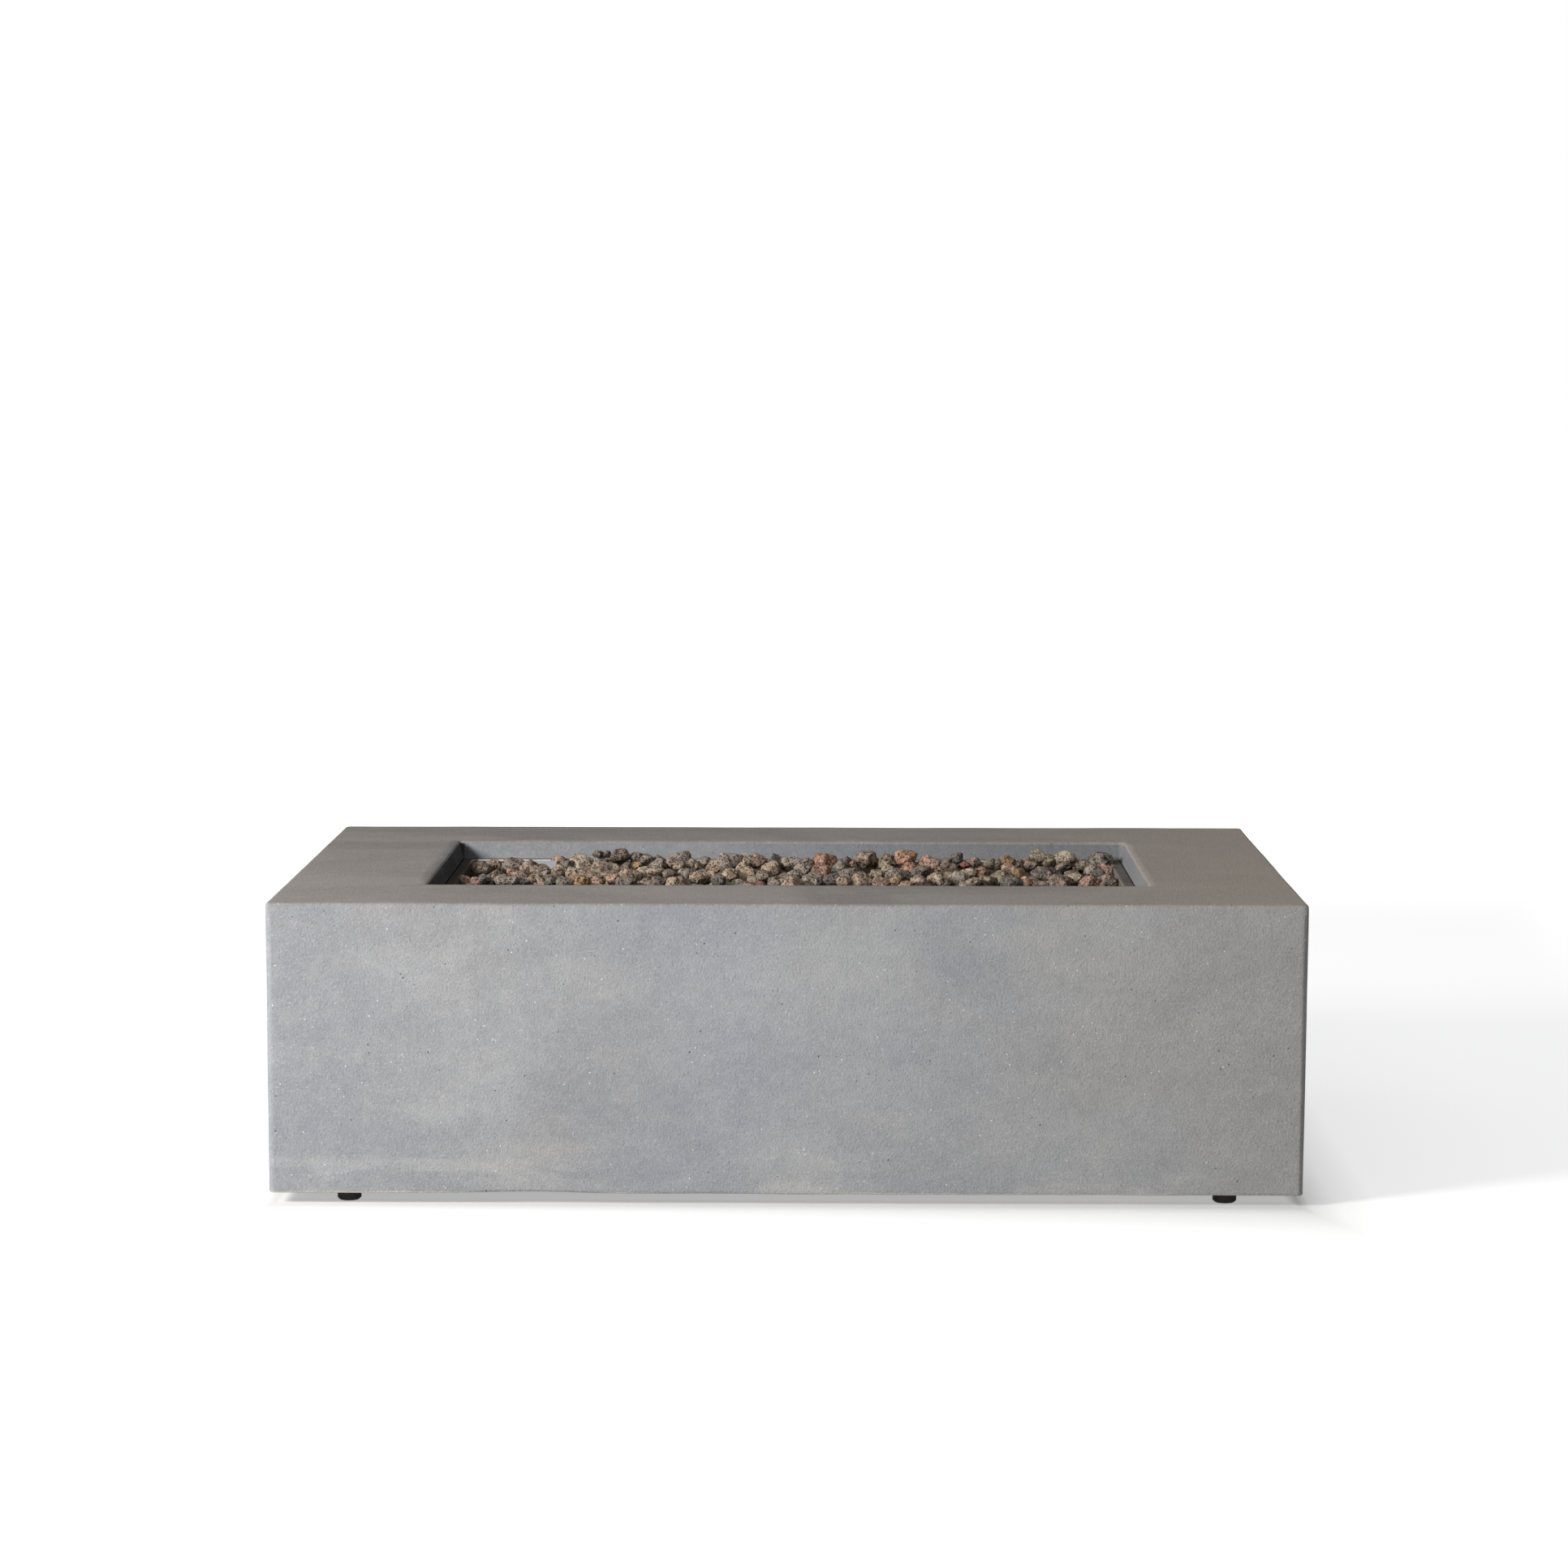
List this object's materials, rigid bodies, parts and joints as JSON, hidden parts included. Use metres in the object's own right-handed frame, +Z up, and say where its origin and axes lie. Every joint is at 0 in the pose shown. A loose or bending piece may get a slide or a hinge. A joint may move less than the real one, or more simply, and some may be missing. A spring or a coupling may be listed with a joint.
{
  "type": "fire pit table",
  "caption": "Low rectangular cast concrete gas fire table with a recessed pan of lava rock, an H burner, a control niche in one end and levelling feet.",
  "frame": {"origin": "on the floor, under the centre of the body's footprint", "axes": "+X along the length to the right as seen from the front, +Y to the back, +Z up; the controls are in the -X end"},
  "size_m": [1.295, 0.813, 0.381],
  "materials": {
    "concrete": "hand-cast, fine sandy grain, soft mottling",
    "pan_metal": "dull satin, heat tinted",
    "stainless": "brushed",
    "zinc": "zinc plated",
    "brass": "machined",
    "cast_metal": "die cast, matt",
    "copper": "drawn tube",
    "black_plastic": "moulded, fine texture",
    "black_rubber": "moulded",
    "red_button": "moulded, satin",
    "battery_wrap": "plain printed-free sleeve",
    "ceramic": "unglazed",
    "silicone": "silicone sleeve",
    "lava_dark": "porous, matt",
    "lava_brown": "porous, matt",
    "lava_rust": "porous, matt",
    "lava_tan": "porous, matt"
  },
  "bodies": {
    "root": {"table_body": "concrete", "burner_pan": "pan_metal", "h_burner": "stainless", "burner_saddles": "stainless", "burner_nipple": "zinc", "pan_locknuts": "zinc", "air_mixer": "brass", "gas_orifice": "brass", "gas_inlet_fitting": "brass", "flare_nuts": "brass", "flex_gas_line": "stainless", "gas_valve": "cast_metal", "valve_nut": "zinc", "control_panel": "stainless", "panel_screws": "stainless", "panel_inserts": "brass", "igniter_body": "black_plastic", "igniter_locknut": "black_plastic", "igniter_battery": "battery_wrap", "igniter_bracket": "stainless", "bracket_screws": "stainless", "electrode_insulator": "ceramic", "electrode_tip": "stainless", "thermocouple_probe": "stainless", "ignition_hood": "stainless", "electrode_wire": "silicone", "thermocouple_lead": "copper", "foot_inserts": "zinc", "lava_rocks_base": "lava_dark", "lava_rocks_charcoal": "lava_dark", "lava_rocks_brown": "lava_brown", "lava_rocks_rust": "lava_rust", "lava_rocks_tan": "lava_tan"},
    "valve_plunger": {"valve_push_rod": "brass"},
    "knob": {"valve_stem": "zinc", "control_knob": "black_plastic"},
    "igniter_plunger": {"igniter_button": "red_button"},
    "glide_front_left": {"foot_pad_front_left": "black_rubber"},
    "stud_front_left": {"foot_stud_front_left": "zinc"},
    "glide_front_right": {"foot_pad_front_right": "black_rubber"},
    "stud_front_right": {"foot_stud_front_right": "zinc"},
    "glide_rear_left": {"foot_pad_rear_left": "black_rubber"},
    "stud_rear_left": {"foot_stud_rear_left": "zinc"},
    "glide_rear_right": {"foot_pad_rear_right": "black_rubber"},
    "stud_rear_right": {"foot_stud_rear_right": "zinc"}
  },
  "joints": [
    {"name": "knob_press", "type": "slide", "parent": "root", "child": "valve_plunger", "axis": [1, 0, 0], "range_m": [0, 0.004], "stiffness_N_per_m": 1500, "springref_m": -0.002},
    {"name": "knob_turn", "type": "hinge", "parent": "valve_plunger", "child": "knob", "pos_m": [-0.619, -0.038, 0.19], "axis": [-1, 0, 0], "range_deg": [0, 180]},
    {"name": "igniter_press", "type": "slide", "parent": "root", "child": "igniter_plunger", "axis": [1, 0, 0], "range_m": [0, 0.0035], "stiffness_N_per_m": 2000, "springref_m": -0.0015},
    {"name": "foot_slide_front_left", "type": "slide", "parent": "root", "child": "glide_front_left", "axis": [0, 0, -1], "range_m": [0, 0.0118]},
    {"name": "foot_turn_front_left", "type": "hinge", "parent": "glide_front_left", "child": "stud_front_left", "pos_m": [-0.55, -0.368, 0], "axis": [0, 0, -1], "range_deg": [0, 3400]},
    {"name": "foot_slide_front_right", "type": "slide", "parent": "root", "child": "glide_front_right", "axis": [0, 0, -1], "range_m": [0, 0.0118]},
    {"name": "foot_turn_front_right", "type": "hinge", "parent": "glide_front_right", "child": "stud_front_right", "pos_m": [0.55, -0.368, 0], "axis": [0, 0, -1], "range_deg": [0, 3400]},
    {"name": "foot_slide_rear_left", "type": "slide", "parent": "root", "child": "glide_rear_left", "axis": [0, 0, -1], "range_m": [0, 0.0118]},
    {"name": "foot_turn_rear_left", "type": "hinge", "parent": "glide_rear_left", "child": "stud_rear_left", "pos_m": [-0.55, 0.368, 0], "axis": [0, 0, -1], "range_deg": [0, 3400]},
    {"name": "foot_slide_rear_right", "type": "slide", "parent": "root", "child": "glide_rear_right", "axis": [0, 0, -1], "range_m": [0, 0.0118]},
    {"name": "foot_turn_rear_right", "type": "hinge", "parent": "glide_rear_right", "child": "stud_rear_right", "pos_m": [0.55, 0.368, 0], "axis": [0, 0, -1], "range_deg": [0, 3400]}
  ],
  "couplings": [
    {"joint": "foot_turn_front_left", "follows": "foot_slide_front_left", "rad_per_m": 5026.5},
    {"joint": "foot_turn_front_right", "follows": "foot_slide_front_right", "rad_per_m": 5026.5},
    {"joint": "foot_turn_rear_left", "follows": "foot_slide_rear_left", "rad_per_m": 5026.5},
    {"joint": "foot_turn_rear_right", "follows": "foot_slide_rear_right", "rad_per_m": 5026.5}
  ]
}
